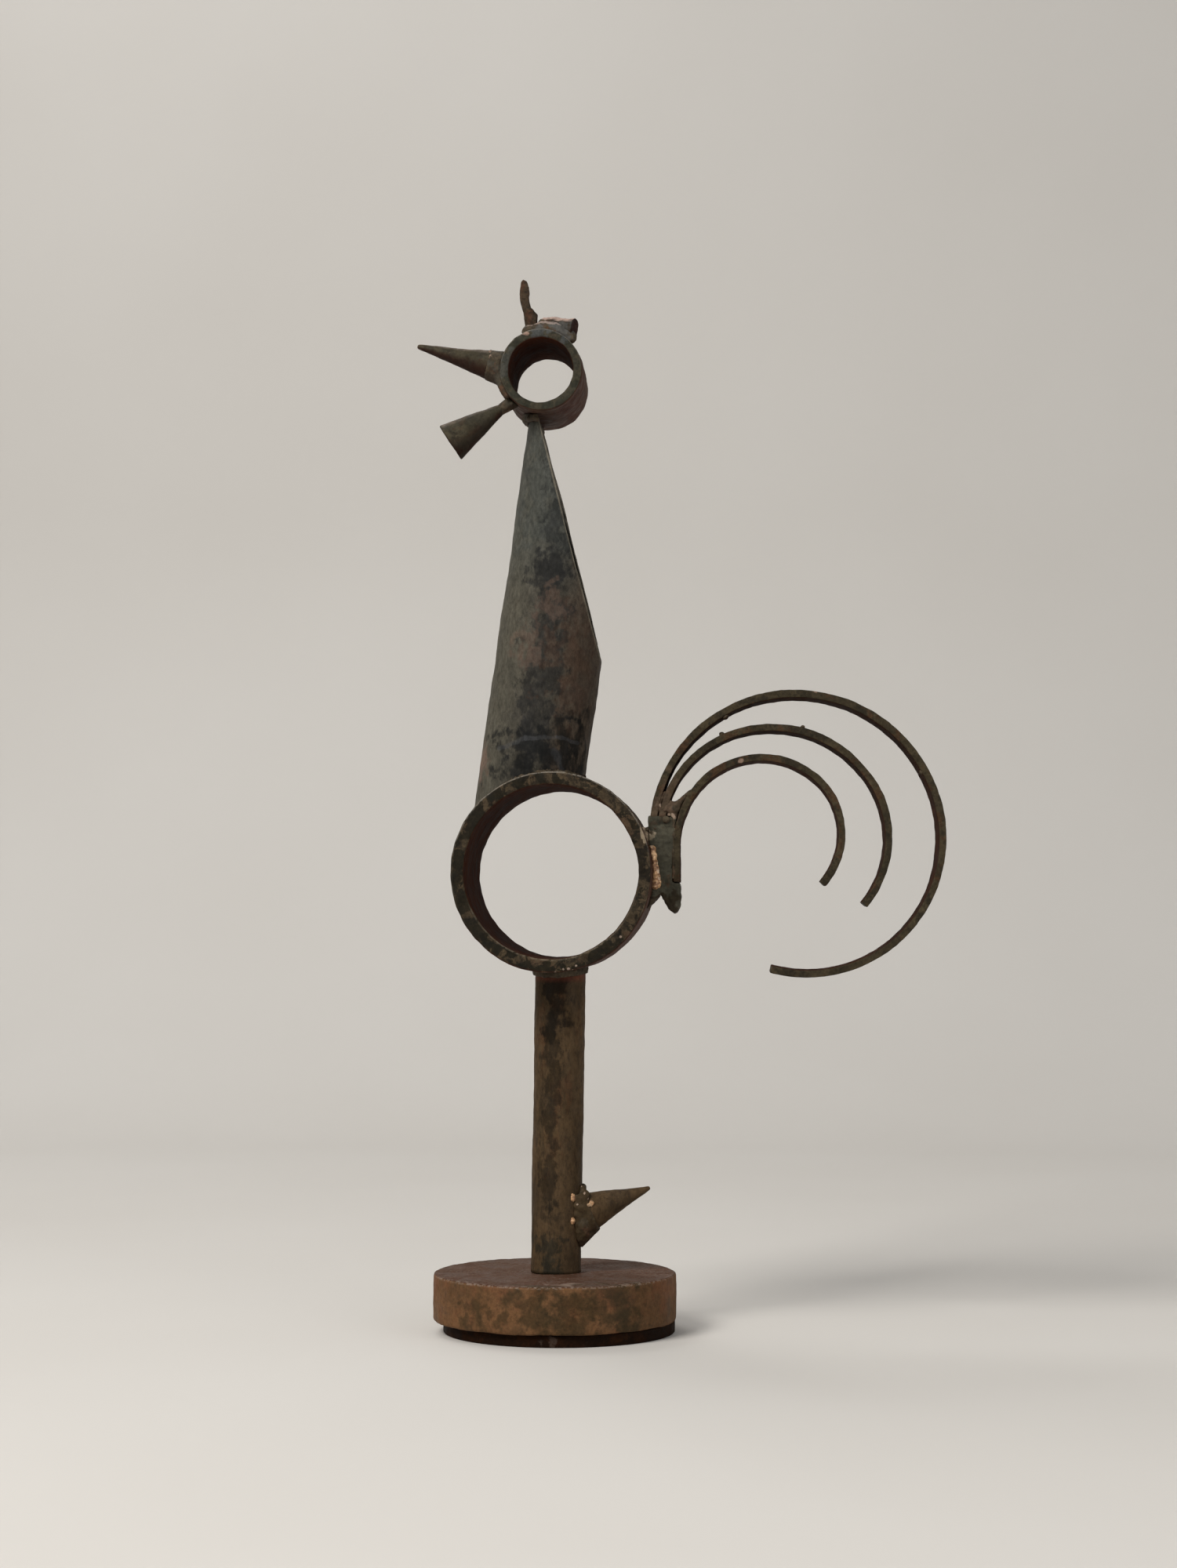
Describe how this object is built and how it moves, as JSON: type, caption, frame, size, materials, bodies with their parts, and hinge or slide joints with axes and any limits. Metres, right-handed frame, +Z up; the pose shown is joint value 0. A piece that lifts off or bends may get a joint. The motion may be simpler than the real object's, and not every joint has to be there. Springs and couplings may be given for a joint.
{
  "type": "metal rooster sculpture",
  "caption": "Free-standing rooster figure welded from scrap iron: pipe-ring body and head, slanted pipe neck, cone beak and spur, curled flat-bar tail, round base.",
  "frame": {"origin": "centre of the base disc, on the surface that the base pad stands on", "axes": "+Z up, -X the way the beak points, +X towards the tail, the weld beads face -Y"},
  "size_m": [0.2383, 0.11, 0.4747],
  "materials": {
    "base_iron": "purple-brown oxidised iron with dark blotches",
    "pad_iron": "near black, matt",
    "screw_steel": "plain zinc-grey steel",
    "stem_iron": "blackened iron with brown rust bloom",
    "ring_iron": "blackened iron, mottled, worn bright on the rims, red-brown inside",
    "neck_iron": "dark scaled pipe with grey highlight and rust patches",
    "beak_iron": "ground and blackened iron",
    "comb_iron": "rough blackened iron",
    "bracket_iron": "grey-green scaled iron",
    "feather_iron": "dark green-grey scaled flat bar",
    "weld_iron": "rippled weld bead, brown-grey with pale spots",
    "braze": "dull golden braze with bright crests"
  },
  "bodies": {
    "root": {"base_disc": "base_iron", "base_pad": "pad_iron", "base_screw": "screw_steel", "stem_bar": "stem_iron", "stem_top_weld": "weld_iron", "spur_cone": "stem_iron", "spur_weld": "weld_iron", "spur_braze": "braze", "body_ring": "ring_iron", "neck_tube": "neck_iron", "neck_foot_weld": "weld_iron", "head_ring": "ring_iron", "neck_tip_weld": "weld_iron", "upper_beak": "beak_iron", "upper_beak_weld": "weld_iron", "lower_beak": "beak_iron", "lower_beak_weld": "weld_iron", "comb_spike": "comb_iron", "comb_rod": "comb_iron", "comb_weld": "weld_iron", "tail_bracket": "bracket_iron", "bracket_weld": "weld_iron", "tail_braze": "braze", "feather_outer": "feather_iron", "feather_middle": "feather_iron", "feather_inner": "feather_iron", "feather_root_weld": "weld_iron", "weld_spatter": "weld_iron"}
  },
  "joints": []
}
